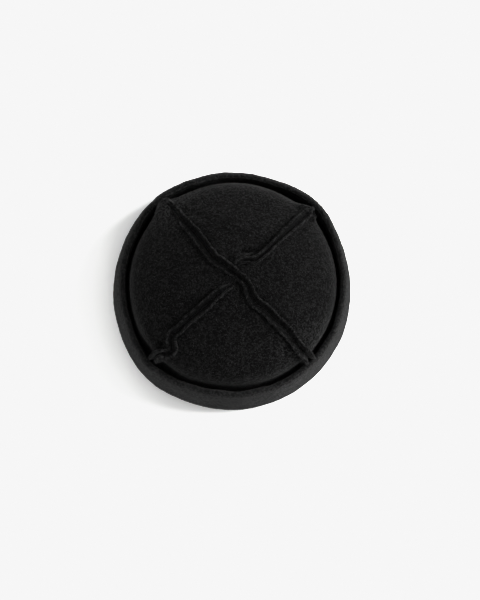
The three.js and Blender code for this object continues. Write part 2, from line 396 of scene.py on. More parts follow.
def even_painted_highlight(tree, colour, mask):
    """The colour with the mask's share of it painted one even, paler shade, as a highlight."""
    inputs = {0: colour, 1: math_step(tree, "SUBTRACT", 1.0, mask),
              2: math_step(tree, "MULTIPLY", mask, RIM_HIGHLIGHT_COLOUR)}
    return add_node(tree, "VectorMath", inputs, operation="MULTIPLY_ADD").outputs["Vector"]


# %% [markdown]
# The felt's material puts three sizes of mottling together, fine tufts most of all, and turns
# their sum into a colour between a dark pit and a paler tuft. The same sum raises the surface,
# with single fibres added. Sheen makes the haze. A painted picture could show the same, but it
# would stretch over the folds, while noise that is fixed to the piece keeps its true size.

# %% Two tones and a raised surface
def two_tone(tree, value, dark, pale, start=0.0, end=1.0):
    """A colour that goes from dark to pale while the value goes from start to end."""
    ramp = add_node(tree, "ValToRGB", {"Fac": value})
    for stop, place, colour in zip(ramp.color_ramp.elements, (start, end), (dark, pale)):
        stop.position = place
        stop.color = colour
    return ramp.outputs["Color"]


def raised(tree, height, distance):
    """The direction of a surface on which a pattern stands up by a distance, in metres."""
    inputs = {"Height": height, "Distance": distance, "Strength": 1.0}
    return add_node(tree, "Bump", inputs).outputs["Normal"]


# %% Felt material
# each pattern: changes in a metre, detail, roughness, distortion
TUFTS = (640, 3, 0.62, 0.6)
MOTTLE = (240, 2, 0.55, 0.4)
CLOUD = (55, 2, 0.5)
FIBRES = (2300, 2, 0.7, 1.5)
FIBRE_SHARE = 0.2           # how much single fibres add to the bump
PIT_BELOW = 0.488           # sums of the patterns that give the darkest and the palest colour
TUFT_ABOVE = 0.552
RELIEF = 1.7                # depth of the bump, mm
HAZE_SPREAD = 0.46


def felt_material(name, pit, tuft, sheen, relief=RELIEF, painted_highlight=None, weights=(0.72, 0.2, 0.08)):
    """Boiled wool: pits and tufts in colour and height, and a haze at a grazing view.

    Painted_highlight is "rim" or "corners": where a paler colour is painted in as a highlight;
    weights are the shares of the fine, the middling and the broad mottling."""
    pale = (tuft, tuft, tuft, 1)
    material = plain_material(name, pale, roughness=0.95)
    tree = material.node_tree
    shader = tree.nodes["Principled BSDF"]
    shader.inputs["Specular IOR Level"].default_value = 0.1
    shader.inputs["Sheen Weight"].default_value = sheen
    shader.inputs["Sheen Roughness"].default_value = HAZE_SPREAD
    shader.inputs["Sheen Tint"].default_value = (1, 1, 1, 1)

    tufts, mottle, cloud, fibres = [noise_pattern(tree, *pattern)
                                    for pattern in (TUFTS, MOTTLE, CLOUD, FIBRES)]
    shade = weighted_sum(tree, zip((tufts, mottle, cloud), weights))
    colour = two_tone(tree, shade, (pit, pit, pit, 1), pale, PIT_BELOW, TUFT_ABOVE)
    # painted highlights: a paler, evened band below the cuff's rim, paler patches on the crown
    if painted_highlight == "rim":
        colour = even_painted_highlight(tree, colour, rim_highlight_mask(tree, mottle))
    if painted_highlight == "corners":
        colour = paler(tree, colour, crown_highlight_mask(tree))
    tree.links.new(colour, shader.inputs["Base Color"])
    height = weighted_sum(tree, [(shade, 1), (fibres, FIBRE_SHARE)])
    tree.links.new(raised(tree, height, relief * MM), shader.inputs["Normal"])
    return material


# %% [markdown]
# The cap needs four finishes of the one cloth. One is the brushed outside of the crown. Another
# is the outside of the cuff, painted paler than the crown for the light that its upright face
# gets. The inside is painted darker and given little sheen, as the shade in the valleys and the
# gap. Cut edges are where the felt is open and rougher; they are painted paler, partly for the
# open felt and partly as a highlight along each ridge.

# %% Finishes of the felt
crown_wool = felt_material("crown_wool", pit=0.0002, tuft=0.0115, sheen=0.105, painted_highlight="corners")
# the cuff's outside: painted paler than the crown, as the light on its upright face
lit_cuff_wool = felt_material("cuff_wool_painted_light", pit=0.0002, tuft=0.028, sheen=0.12, painted_highlight="rim",
                          weights=(0.92, 0.06, 0.02))
# the inside: painted darker, with little sheen, as the shade in valleys and the gap
shaded_inner_wool = felt_material("shaded_inner_wool", pit=0.0002, tuft=0.008, sheen=0.03, relief=1.6,
                           painted_highlight="corners")
# cut edges: paler partly for open felt, partly a painted highlight along each ridge
cut_edge_highlight_wool = felt_material("cut_edge_highlight_wool", pit=0.001, tuft=0.027, sheen=0.06, relief=4,
                              painted_highlight="corners")
print("materials:", [wool.name for wool in (crown_wool, lit_cuff_wool, shaded_inner_wool, cut_edge_highlight_wool)])

# %% [markdown]
# ## The crown's shape
#
# The crown is a low dome over a nearly upright wall. A sphere would be too round and a
# cylinder too sharp at the shoulder, so its shape is a table: one row for each level from the
# crossing of the seams, over the top and down to the lower edge. The seams and the middles of
# the panels have their own columns, because the corners stand a little higher and further out.

# %% Levels of the crown
# level, seam out, seam up, panel middle out, panel middle up
LEVELS = [
    (0, 0.4, 64.5, 0.4, 64.5), (1, 10, 64.2, 9, 64.2), (2, 20, 63.6, 18.5, 63.7),
    (3, 31, 62.5, 29, 62.7), (4, 46, 59.9, 43.5, 60.6), (5, 60, 56.3, 57, 57.6),
    (6, 70, 52.9, 67, 54.6), (7, 78, 50.0, 74.5, 51.6), (8, 83.4, 47.4, 80, 47.8),
    (9, 86.2, 44.3, 83, 43.2), (10, 85.1, 40.8, 84, 38.5), (11, 84.0, 34, 84.2, 32),
    (12, 85.4, 19, 86.3, 18), (13, 88.6, 4, 88.8, 4),
]
print("levels:", len(LEVELS), "from", LEVELS[0][2], "mm high down to", LEVELS[-1][2], "mm")

# %% [markdown]
# A seam's two allowances are turned back, each over its own panel, and stand up like a V. They
# were pressed by hand, so each stretch has its own lean and height. The table of a seam has
# a row for each place where it changes: the level, how far the seam wanders sideways, then the
# lean and rise of the allowance on its clockwise and on its anticlockwise side.
#
# The seam from back left to front right was sewn last and runs straight through the crossing;
# the other two end against it. Near its corner the front left seam has buckled into an S.

# %% Seams
# level, sideways, lean and rise clockwise, lean and rise anticlockwise
SEAMS = {
    "back_right": [
        (0, 0.4, 0.3, 0.2, 0.3, 0.2), (0.45, 4.4, 0.5, 0.6, 0.5, 0.6),
        (0.7, 4.8, 0.8, 1.9, 0.8, 2.7), (1.15, 4.0, 1.0, 2.3, 1.0, 3.4),
        (1.65, 1.2, 1.1, 2.5, 1.4, 3.9), (2.05, -3.1, 1.4, 2.9, 1.8, 3.7),
        (2.55, -4.3, 1.4, 3.1, 1.6, 3.5), (3.15, -4.8, 1.4, 3.2, 1.7, 3.4),
        (3.8, -4.1, 1.5, 3.2, 1.8, 3.4), (5, -3.1, 2.2, 3.2, 2.7, 3.3),
        (6, -2.6, 3.0, 3.0, 3.4, 3.1), (7, -2.2, 3.3, 2.3, 3.6, 2.5),
        (7.5, -1.9, 3.4, 1.6, 3.5, 1.7), (8, -1.7, 2.9, 0.8, 2.9, 0.8),
        (8.5, -1.5, 1.0, 0.5, 1.0, 0.5), (9.2, -1.2, 0.6, 0.4, 0.6, 0.4),
        (10, -0.6, 1.0, 0.6, 1.0, 0.6), (11, 0, 2.9, 1.7, 2.9, 1.7),
        (13, 0, 3.0, 1.7, 3.0, 1.7),
    ],
    "back_left": [
        (0, 0, 2.5, 3.6, 3.6, 1.6), (1, -0.2, 2.6, 3.6, 4.2, 1.9),
        (1.8, 0.2, 2.8, 3.6, 4.6, 2.1), (3, -0.6, 2.8, 3.4, 4.5, 2.2),
        (4, -1.9, 2.9, 3.4, 4.5, 2.2), (5, -1.9, 3.0, 3.3, 3.8, 1.8),
        (5.6, -2.0, 3.2, 3.3, 1.8, 1.3), (6.2, -2.2, 3.3, 3.2, 0.9, 0.9),
        (7, -2.6, 3.4, 3.2, 0.8, 0.7), (7.6, -2.3, 3.4, 2.9, 0.9, 0.6),
        (8.1, -1.9, 3.2, 2.0, 1.0, 0.5), (8.6, -1.4, 1.7, 1.0, 0.8, 0.4),
        (9.2, -0.8, 0.8, 0.5, 0.6, 0.4), (10, 0, 1.0, 0.6, 1.0, 0.6),
        (11, 0, 2.9, 1.7, 2.9, 1.7), (13, 0, 3.0, 1.7, 3.0, 1.7),
    ],
    "front_left": [
        (0, 0.4, 0.3, 0.2, 0.3, 0.2), (0.35, 3.4, 0.3, 0.2, 0.3, 0.2),
        (0.8, 4.6, 1.0, 1.3, 1.0, 1.3), (1.2, 3.2, 1.8, 1.7, 1.9, 2.0),
        (2, 2.4, 2.8, 2.6, 3.1, 3.0), (3, 1.9, 3.0, 2.8, 3.4, 3.2),
        (4, 0.1, 3.0, 2.9, 3.2, 3.3), (5, -0.8, 3.0, 3.2, 3.1, 3.2),
        (5.6, -2.4, 2.6, 3.2, 3.6, 3.0), (6, 0.2, 2.5, 3.3, 4.0, 3.0),
        (6.4, 4.4, 2.3, 3.5, 4.1, 3.1), (6.9, 5.8, 2.0, 3.8, 3.6, 3.2),
        (7.4, 3.3, 2.2, 3.9, 2.8, 3.6), (7.9, 0.5, 2.5, 3.9, 1.4, 3.9),
        (8.6, -0.8, 2.4, 4.2, 1.3, 4.0), (9.2, -0.6, 2.5, 3.8, 2.7, 3.0),
        (10, -0.2, 2.9, 2.4, 3.0, 2.2), (11, 0, 3.0, 1.9, 3.0, 1.9),
        (13, 0, 3.0, 1.9, 3.0, 1.9),
    ],
    "front_right": [
        (0, 0, 3.0, 1.2, 2.5, 3.6), (0.35, 0.9, 2.7, 1.5, 2.4, 3.6),
        (1.1, 3.0, 2.6, 2.3, 2.3, 3.6), (1.7, 2.6, 3.3, 2.4, 2.9, 3.5),
        (2.4, 0.3, 4.0, 2.5, 3.4, 3.4), (3, -0.3, 4.1, 2.5, 3.6, 3.4),
        (3.5, 1.4, 4.1, 2.5, 3.6, 3.4), (4, 1.6, 4.1, 2.6, 3.6, 3.4),
        (5, 2.4, 4.1, 2.8, 3.8, 3.4), (6, 2.1, 4.0, 3.0, 3.6, 3.6),
        (7, 1.5, 3.9, 3.1, 3.6, 3.7), (8, 1.8, 3.6, 3.8, 3.4, 4.2),
        (8.8, 2.0, 3.5, 5.0, 3.3, 5.2), (9.5, 1.7, 3.3, 4.6, 3.1, 4.6),
        (10.4, 1.0, 3.1, 2.4, 3.0, 2.4), (11, 0.4, 3.0, 1.9, 3.0, 1.9),
        (13, 0, 3.0, 1.9, 3.0, 1.9),
    ],
}
PANELS = {
    "crown_panel_right": ("front_right", "back_right"),
    "crown_panel_back": ("back_right", "back_left"),
    "crown_panel_left": ("back_left", "front_left"),
    "crown_panel_front": ("front_left", "front_right"),
}
print("seams:", {name: len(rows) for name, rows in SEAMS.items()})

# %% [markdown]
# A point of the crown is found from two numbers: its level, and how far it lies across its
# panel. The two tables give the height and the distance from the middle there. Near a seam the
# distance goes over to the seam's own, with a high power so that the panel stays round until
# just before its corner.

# %% Points of the crown
CROSSING = np.array([4.0, 1.4])   # where the seams cross, off the middle, mm
CROSSING_FADE = 20          # distance over which that offset dies out, mm
SHOULDER_OUT = 88           # distance of the shoulder, by which the whole lean is reached, mm
CROWN_DEPTH_RATIO = 1.006   # the crown is slightly longer from front to back
CORNER_POWER = 6            # how tightly a panel stays round before its corners


def crown_middle(seam_out, seam_up):
    """Middle of the crown at a level: the crossing first, then the lean of the whole top."""
    fade = np.clip(1 - seam_out / CROSSING_FADE, 0, None)
    lean = TOP_SHIFT * np.minimum(np.minimum(seam_out / SHOULDER_OUT, seam_up / RIM_UP), 1)
    return CROSSING[0] * fade + lean, CROSSING[1] * fade


def seam_polar(name, level, seam_out):
    """Direction and distance of a seam from the crown's middle."""
    sideways = smooth_table(SEAMS[name], level)[..., 0]
    angle = math.radians(SEAM_ANGLE[name]) + np.arctan2(sideways, seam_out)
    return angle, np.hypot(sideways, seam_out)


def bare_crown(panel, across, level):
    """The felt's outer face without dents; across runs from -1 at one seam to 1 at the next."""
    seam_out, seam_up, mid_out, mid_up = columns(smooth_table(LEVELS, level))
    start, start_out = seam_polar(PANELS[panel][0], level, seam_out)
    end, end_out = seam_polar(PANELS[panel][1], level, seam_out)
    angle = start + (end - start) % (2 * np.pi) * (across + 1) / 2
    corner = np.abs(across) ** CORNER_POWER
    oval = np.hypot(np.cos(angle), CROWN_DEPTH_RATIO * np.sin(angle))
    at_seam = np.where(across < 0, start_out, end_out)
    radius = mid_out * oval * (1 - corner) + at_seam * corner
    middle_x, middle_y = crown_middle(seam_out, seam_up)
    up = mid_up * (1 - corner) + seam_up * corner
    return np.stack((middle_x + radius * np.cos(angle), middle_y + radius * np.sin(angle), up), -1)


top = bare_crown("crown_panel_front", np.zeros(1), np.zeros(1))[0]
print("crossing of the seams, mm from the middle of the foot:", np.round(top, 1))

# %% [markdown]
# Felt that has been worn and packed is never an even dome. A short table adds what is seen on
# this crown: the hollow behind the hook of the back right seam, a crease that runs beside the
# back left seam, pits around the buckle, and soft swellings, the largest at the corners. Each
# row is a smooth bump with a place, a length, a width, a direction and a depth.

# %% Hollows and swellings
# x, y, half length, half width, direction in degrees, depth (a swelling has a minus)
HOLLOWS = [
    (12.8, 20.3, 6.0, 2.1, 10, 2.7), (15.0, 24.2, 6.5, 1.6, 12, -0.7),
    (7.5, -11.5, 5.0, 1.8, -70, 0.8), (-72.0, -40.0, 7.0, 14.0, 29, -1.2),
    (-38.0, -74.0, 15.0, 7.0, -25, -1.7),
    (-25.0, 50.2, 6.0, 1.6, -38, 0.5), (42.0, 11.2, 4.5, 1.4, 38, 0.55),
    (37.1, -54.1, 5.0, 3.5, 80, -0.5), (49.8, -58.6, 4.0, 3.0, 40, -0.6),
    (44.0, -60.0, 3.0, 4.5, 30, 0.45), (-61.0, 38.5, 9.0, 3.0, 80, -0.5),
    (-55.5, -53.2, 3.5, 2.6, 20, 1.3), (-62.0, -45.7, 3.0, 2.4, 60, 0.7),
    (-38.7, -54.3, 4.5, 2.4, 100, 0.7), (57.1, 39.6, 6.0, 4.0, 50, 0.5),
    (-4.0, -5.0, 7.0, 4.5, -44, 0.9), (20.0, -22.0, 3.0, 8.0, -50, 0.35),
    (24.0, 4.0, 4.0, 2.5, 60, 0.35), (-30.0, -8.0, 14.0, 10.0, 20, 0.5),
    (2.0, 45.0, 16.0, 9.0, 5, -0.4), (6.0, -48.0, 15.0, 9.0, 0, -0.5),
    (52.0, -4.0, 9.0, 16.0, 0, -0.4), (-52.0, 6.0, 8.0, 15.0, 10, -0.3),
    (-25.4, 18.8, 15.0, 2.0, 131, 0.9), (-40.0, -29.0, 22.0, 2.4, 45, 0.7),
    (64.0, 61.0, 8.5, 5.5, 136, -4.6), (-56.0, 63.5, 9.5, 5.0, 43, -4.0),
    (-61.5, -64.0, 7.0, 6.0, 136, -4.2), (61.0, -64.0, 6.0, 5.0, 43, -0.6),
]


def hollow_depth(points):
    """How far the felt lies below the even dome at each point, in millimetres."""
    depth = np.zeros(points.shape[:-1])
    for x, y, half_length, half_width, direction, deep in HOLLOWS:
        turn = math.radians(direction)
        along = (points[..., 0] - x) * math.cos(turn) + (points[..., 1] - y) * math.sin(turn)
        beside = (points[..., 1] - y) * math.cos(turn) - (points[..., 0] - x) * math.sin(turn)
        depth += deep * np.exp(-((along / half_length) ** 2) - (beside / half_width) ** 2)
    return depth


print("hollows:", sum(row[-1] > 0 for row in HOLLOWS), "and swellings:",
      sum(row[-1] < 0 for row in HOLLOWS))

# %% [markdown]
# Between those places the felt is uneven by a few tenths of a millimetre everywhere, because the
# fibres never mat evenly. That is too fine for a table and just what noise is for. Blender's
# noise gives the same value for the same place each time, so the cap never changes.

# %% Small lumps
LUMP_DEPTH = 0.2            # mm
LUMP_SIZE = 2.7             # mm
LUMP_DETAIL = (0.6, 2.1, 3)   # of the noise: roughness, how much finer each time, how many times
SEED_STEPS = (17.3, 5.1, 9.7)         # how far each seed moves the noise along


def lumps(points, size, seed):
    """Small unevenness of the felt, from -1 to 1, a few millimetres across."""
    shift = Vector([seed * step for step in SEED_STEPS])
    flat = points.reshape(-1, 3) / size
    values = [noise.fractal(Vector(point) + shift, *LUMP_DETAIL) for point in flat.tolist()]
    return np.array(values).reshape(points.shape[:-1])


# %% [markdown]
# Thickness, hollows and lumps all move the felt along its own outward direction. That direction
# could come from a finished mesh, but here the points are wanted before any mesh exists, so it
# is measured: the crown a little above and a little below a point gives the slope.

# %% Directions on the crown
STEP = 0.04                 # how far above and below a point the slope is measured, in levels


def unit(vectors):
    """The same directions, each of length one."""
    return vectors / np.maximum(np.linalg.norm(vectors, axis=-1, keepdims=True), 1e-9)


def levels_beside(level, step):
    """The levels a step above and below, but not past the ends of the crown."""
    return np.maximum(level - step, 0), np.minimum(level + step, LEVELS[-1][0])


def radial_direction(point, level):
    """The horizontal direction from the middle of the crown to a point."""
    middle_x, middle_y = crown_middle(*columns(smooth_table(LEVELS, level))[:2])
    return unit(np.stack((point[..., 0] - middle_x, point[..., 1] - middle_y,
                          np.zeros_like(middle_x)), -1))


def crown_frame(panel, across, level, step=STEP):
    """A point with its directions down the crown and out of the felt."""
    point = bare_crown(panel, across, level)
    above, below = [bare_crown(panel, across, other) for other in levels_beside(level, step)]
    down = unit(below - above)
    radial = radial_direction(point, level)
    sideways = np.stack((-radial[..., 1], radial[..., 0], np.zeros_like(radial[..., 0])), -1)
    outwards = unit(np.cross(down, sideways))
    return point, down, outwards


# %% [markdown]
# ## The panels
#
# A panel could be a flat sheet given thickness by a modifier, but its allowance is folded back
# at the seam and has a cut edge that shows, so a modifier would round exactly what matters.
# Instead each level of the panel is a closed outline: up the inner face of one allowance, over
# its cut edge, down to the crease, across the panel, over the second allowance, and back along
# the inside of the cap. The outlines of all levels are then skinned together.

# %% Outline of a turned-out allowance
FELT = 2.2                  # thickness of the boiled wool, mm
ALLOWANCE_FELT = 2.2        # thickness of a turned-out allowance, mm
CUT_EDGE_FELT = 1.9         # it thins out towards its cut edge, mm
INNER_FACE_AT = (0.22, 0.45, 0.68, 0.88)      # shares of the allowance's length
CUT_EDGE_AT = (0, 40, 90, 140, 180)           # degrees round the cut edge
OUTER_FACE_AT = (0.3, 0.6, 0.85)              # shares of the way down to the crease
OUTLINE_POINTS = len(INNER_FACE_AT) + len(CUT_EDGE_AT) + len(OUTER_FACE_AT)
WIDEST_CREASE = 0.45        # share of a row that one crease may take


def allowance_outline(lean, rise, row_width):
    """Across and up of an allowance's outline for each level, and where its crease lies."""
    length = np.hypot(lean, rise)
    felt = ALLOWANCE_FELT * np.minimum(1, length / ALLOWANCE_FELT)
    lean_share, rise_share = lean / length, rise / length
    crease = np.minimum(felt / rise_share, WIDEST_CREASE * row_width)
    edge = np.minimum(felt, CUT_EDGE_FELT) / 2
    across, up = [], []

    def add(along, through):
        """Adds a point so far along the allowance and so far through its felt."""
        across.append(along * lean_share + through * rise_share)
        up.append(along * rise_share - through * lean_share)

    for share in INNER_FACE_AT:
        add((length - edge) * share, 0 * length)
    for turn in np.radians(CUT_EDGE_AT):
        add(length - edge + edge * math.sin(turn), edge * (1 - math.cos(turn)))
    edge_across, edge_up = across[-1], up[-1]
    for share in OUTER_FACE_AT:
        across.append(edge_across * (1 - share) + crease * share)
        up.append(edge_up * (1 - share))
    return np.stack(across, -1), np.stack(up, -1), crease


print("points round an allowance:", OUTLINE_POINTS)

# %% [markdown]
# The levels of the table lie closer at the shoulder than on top. Rows at those levels would be
# wide in one place and narrow in another, and the felt's grain would catch on them, so the rows
# of the mesh are spaced evenly along the path from the crossing down to the lower edge.

# %% Even rows
ROWS = 150


def even_rows(path, last, count, samples):
    """Rows that lie at even distances along a path, and the length of the path."""
    rows = np.linspace(0, last, samples)
    out, up = path(rows)
    travel = np.concatenate(([0], np.cumsum(np.hypot(np.diff(out), np.diff(up)))))
    return np.interp(np.linspace(0, travel[-1], count), travel, rows), travel[-1]


def crown_path(level):
    """How far out and how high the crown is, half way between a seam and a panel's middle."""
    seam_out, seam_up, mid_out, mid_up = columns(smooth_table(LEVELS, level))
    return (mid_out + seam_out) / 2, (mid_up + seam_up) / 2


levels, crown_travel = even_rows(crown_path, LEVELS[-1][0], ROWS, samples=2000)
print("from crossing to lower edge, mm:", round(float(crown_travel), 1))

# %% [markdown]
# A seam wanders, so it crosses the rows at a slant. An outline drawn along a row would then cut
# its ridge obliquely and make it look wide and low. The slant is measured here, and later the
# rows bend by it, so that each outline crosses its seam squarely.

# %% Slant of a seam
STEEPEST_SLANT = 0.2        # limits on how far rows may bend to meet a slanting seam
SLOWEST_RATE = 2.0


def seam_slant(panel, across, level, point, down):
    """How much a seam slants, how straight down it runs, and its millimetres for each level."""
    radial = radial_direction(point, level)
    slant = radial[..., 0] * down[..., 1] - radial[..., 1] * down[..., 0]
    straight = np.sqrt(np.clip(1 - slant**2, STEEPEST_SLANT, 1))
    above, below = levels_beside(level, STEP)
    travel = bare_crown(panel, across, below) - bare_crown(panel, across, above)
    rate = np.linalg.norm(travel, axis=-1) / (below - above) * straight
    return slant, straight, np.maximum(rate, SLOWEST_RATE)


# %% [markdown]
# The allowances aren't as even as a drawing. Their lean and height waver and their cut edges
# fray. Displacing a finished mesh would move the two faces of an edge apart, so the waver goes
# into the outlines themselves.

# %% One side of a seam
PANEL_GAP = 0.4             # slit between two panels along their seam, mm
FULL_RISE = 3               # allowances lower than this, mm, waver and fray less
EDGE_WAVE = 0.65            # unevenness of the allowances' lean and rise, mm
LEAN_WAVE_SIZE = 4.5
RISE_WAVE_SIZE = 3.5
FRAY = 0.55                 # raggedness of the cut edges, mm
FRAY_SIZE = 1.5
CREASE_CLEARANCE = 0.3      # from an allowance's foot to where the panel proper begins, mm
VALLEY_FLOOR = 0.35         # height of the thread above the bottom of the valley, mm
SLANT_STEP = 0.4            # levels over which a seam's direction is averaged


def seam_side(panel, side, level, row_width, seed):
    """One allowance of a panel: its points, its crease and how its seam slants."""
    seam = PANELS[panel][0 if side > 0 else 1]
    across = np.full_like(level, -side)
    table = smooth_table(SEAMS[seam], level)
    lean, rise = (table[..., 3], table[..., 4]) if side > 0 else (table[..., 1], table[..., 2])
    point, down, outwards = crown_frame(panel, across, level, SLANT_STEP)
    inwards = np.cross(outwards, down) * side
    ease = np.clip(rise / FULL_RISE, 0, 1)
    lean = lean + EDGE_WAVE * ease * lumps(point + inwards, LEAN_WAVE_SIZE, seed)
    rise = rise + EDGE_WAVE * ease * lumps(point + inwards, RISE_WAVE_SIZE, seed + 1)
    outline_across, outline_up, crease = allowance_outline(lean, rise, row_width)
    point = point - outwards * hollow_depth(point)[..., None]

    def at(distance, height):
        """Points so far in from the seam and so far out of the felt."""
        return (point + inwards * (distance + PANEL_GAP / 2)[..., None]
                + outwards * height[..., None])

    nothing = np.zeros_like(level)
    outline = np.stack([at(outline_across[:, i], outline_up[:, i])
                        for i in range(OUTLINE_POINTS)], axis=1)
    cut = slice(len(INNER_FACE_AT) - 1, len(INNER_FACE_AT) + len(CUT_EDGE_AT) + 1)
    ragged = FRAY * ease[:, None] * lumps(outline[:, cut], FRAY_SIZE, seed + 2)
    outline[:, cut] += outwards[:, None] * ragged[..., None]
    slant, straight, rate = seam_slant(panel, across, level, point, down)
    return {
        "edge": at(nothing, nothing), "back": at(nothing, nothing - FELT), "outline": outline,
        "crease": crease + PANEL_GAP / 2 + CREASE_CLEARANCE, "slant": slant,
        "straight": straight, "rate": rate, "outwards": outwards, "inwards": inwards,
        "valley": at(nothing, nothing + VALLEY_FLOOR), "ease": ease,
    }


# %% [markdown]
# Stitches pull the felt in where an allowance turns out, and the pull dies away over a
# millimetre or two. Together with the width of each row this is all that a panel has to know
# about the felt between its seams.

# %% Pinch and width
PINCH = 0.6                 # how far the stitches pull the felt in along a crease, mm
PINCH_REACH = 1.6           # mm


def side_pinch(side, distance):
    """How far the felt is pulled in at a distance from a seam."""
    past_crease = (distance - side["crease"][:, None]) / PINCH_REACH
    return PINCH * side["ease"][:, None] * np.exp(-np.maximum(past_crease, 0) ** 2)


def row_widths(panel, level):
    """Width of a panel at each level, measured round the crown."""
    seam_out, _, mid_out, _ = columns(smooth_table(LEVELS, level))
    start, _ = seam_polar(PANELS[panel][0], level, seam_out)
    end, _ = seam_polar(PANELS[panel][1], level, seam_out)
    return (end - start) % (2 * np.pi) * mid_out


print("widest row of a panel, mm:", round(float(row_widths("crown_panel_front", levels).max()), 1))

# %% [markdown]
# Between its two allowances a panel is plain felt, puckered a little beside the stitches. Its
# columns crowd together towards both seams, where the felt turns sharply, and its rows bend
# there to meet a slanting seam; rows that ran straight on would cut the ridges into steps.

# %% One panel as numbers
COLUMNS = 100
CROWDING = 0.45             # how much the columns crowd towards the seams
SEAM_REACH = 7              # distance from a seam over which rows bend, mm
ROWS_BEND_FROM = 1.2        # level from which on they bend in full
PUCKER = 0.3                # unevenness of the felt beside a seam, mm
PUCKER_SIZE = 7             # mm
PUCKER_REACH = 6            # mm


def panel_points(panel, seed):
    """Rings of points for every level of a panel, and what its first seam is like."""
    width = row_widths(panel, levels)
    first = seam_side(panel, 1, levels, width, seed)
    second = seam_side(panel, -1, levels, width, seed + 3)
    first_at, second_at = [np.minimum(side["crease"] * side["straight"], WIDEST_CREASE * width)
                           for side in (first, second)]
    share = np.linspace(0, 1, COLUMNS)
    share = (1 - CROWDING) * share + CROWDING * (3 * share**2 - 2 * share**3)
    start, end = -1 + 2 * first_at / width, 1 - 2 * second_at / width
    across = start[:, None] + (end - start)[:, None] * share[None, :]
    from_first = (across + 1) / 2 * width[:, None] / first["straight"][:, None]
    from_second = (1 - across) / 2 * width[:, None] / second["straight"][:, None]
    shift, pinched = 0, 0
    for side, distance, sign in ((first, from_first, -1), (second, from_second, 1)):
        bend = sign * (side["slant"] / side["rate"])[:, None] * distance
        shift = shift + bend * np.exp(-((distance / SEAM_REACH) ** 2))
        pinched = pinched + side_pinch(side, distance)
    ease = np.minimum(1, levels / ROWS_BEND_FROM)[:, None]
    level = np.clip(levels[:, None] + shift * ease, levels[0], levels[-1])
    point, _, outwards = crown_frame(panel, across, level)
    near_seam = np.exp(-np.minimum(from_first, from_second) / PUCKER_REACH)
    height = (LUMP_DEPTH * lumps(point, LUMP_SIZE, seed)
              + PUCKER * near_seam * lumps(point, PUCKER_SIZE, seed + 5)
              - hollow_depth(point) - pinched)
    outer = point + outwards * height[..., None]
    inner = outer - outwards * FELT
    rings = np.concatenate((
        first["edge"][:, None], first["outline"], outer,
        second["outline"][:, ::-1], second["edge"][:, None], second["back"][:, None],
        inner[:, ::-1], first["back"][:, None]), axis=1)
    return rings, first


# %% [markdown]
# Rings of points become a mesh when each is joined to the next with four-sided faces. The band
# of the cuff closes on itself and a panel doesn't. A modifier could do the same for simple
# outlines, but here each point is already known. One function makes every piece, names it and
# lets it ride on the cap's one body.

# %% Meshes from rings
def ring_faces(ring_count, ring_size, joined):
    """Four-sided faces between closed rings that follow one another."""
    ring = np.arange(ring_count if joined else ring_count - 1)[:, None]
    corner = np.arange(ring_size)[None, :]
    after, beside = (ring + 1) % ring_count, (corner + 1) % ring_size
    faces = (ring * ring_size + corner, after * ring_size + corner,
             after * ring_size + beside, ring * ring_size + beside)
    return np.stack(np.broadcast_arrays(*faces), -1).reshape(-1, 4)


def mesh_piece(name, points, faces, felts, felt_of_face=None):
    """Makes a piece from points in millimetres about the cap's middle; it rides on the root."""
    places = (points.reshape(-1, 3) + [cap_middle[0], cap_middle[1], 0]) * MM
    mesh = bpy.data.meshes.new(name)
    mesh.from_pydata(places.tolist(), [], [list(face) for face in faces])
    mesh.shade_smooth()
    for felt in felts:
        mesh.materials.append(felt)
    if felt_of_face is not None:
        mesh.polygons.foreach_set("material_index", felt_of_face)
    piece = bpy.data.objects.new(name, mesh)
    bpy.context.scene.collection.objects.link(piece)
    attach(piece, "root")
    return piece


# %% [markdown]
# A panel's first and last outline are closed with a strip of faces across the felt, and with one
# face over each allowance. Each face round the outline also has to know which felt it shows.

# %% Ends and felts of a panel
def panel_caps(ring_size, ring_count):
    """Faces that close the first and the last ring of a panel."""
    outline_end = OUTLINE_POINTS + 1
    outer = np.arange(outline_end, outline_end + COLUMNS)
    inner = ring_size - 2 - np.arange(COLUMNS)
    caps = [[outer[i], outer[i + 1], inner[i + 1], inner[i]] for i in range(COLUMNS - 1)]
    caps.append([*range(0, outline_end + 1), inner[0], ring_size - 1])
    caps.append([*range(int(outer[-1]), int(inner[-1]) + 1)])
    last = (ring_count - 1) * ring_size
    return caps, [[last + corner for corner in reversed(cap)] for cap in caps]


def panel_felts(ring_size):
    """Which felt each face of a ring shows: 0 brushed, 1 the inner side painted as shade, 2 a cut
    edge.
    """
    felts = np.ones(ring_size, dtype=int)
    cut_start = 1 + len(INNER_FACE_AT)
    cut_end = cut_start + len(CUT_EDGE_AT) - 1
    across_end = 2 * OUTLINE_POINTS + COLUMNS
    felts[cut_start:cut_end] = 2
    felts[cut_end:across_end - cut_end + 1] = 0
    felts[across_end - cut_end + 1:across_end - cut_start + 1] = 2
    return felts


# %% [markdown]
# The four panels are cut alike and differ only in their seams and in the luck of their lumps, so
# a loop makes them. Each face shows one of three felts: brushed outside, the inside painted
# darker as shade, or the fuzzy cut edge, painted paler. That edge draws each ridge as a pale
# line which is partly a painted highlight.

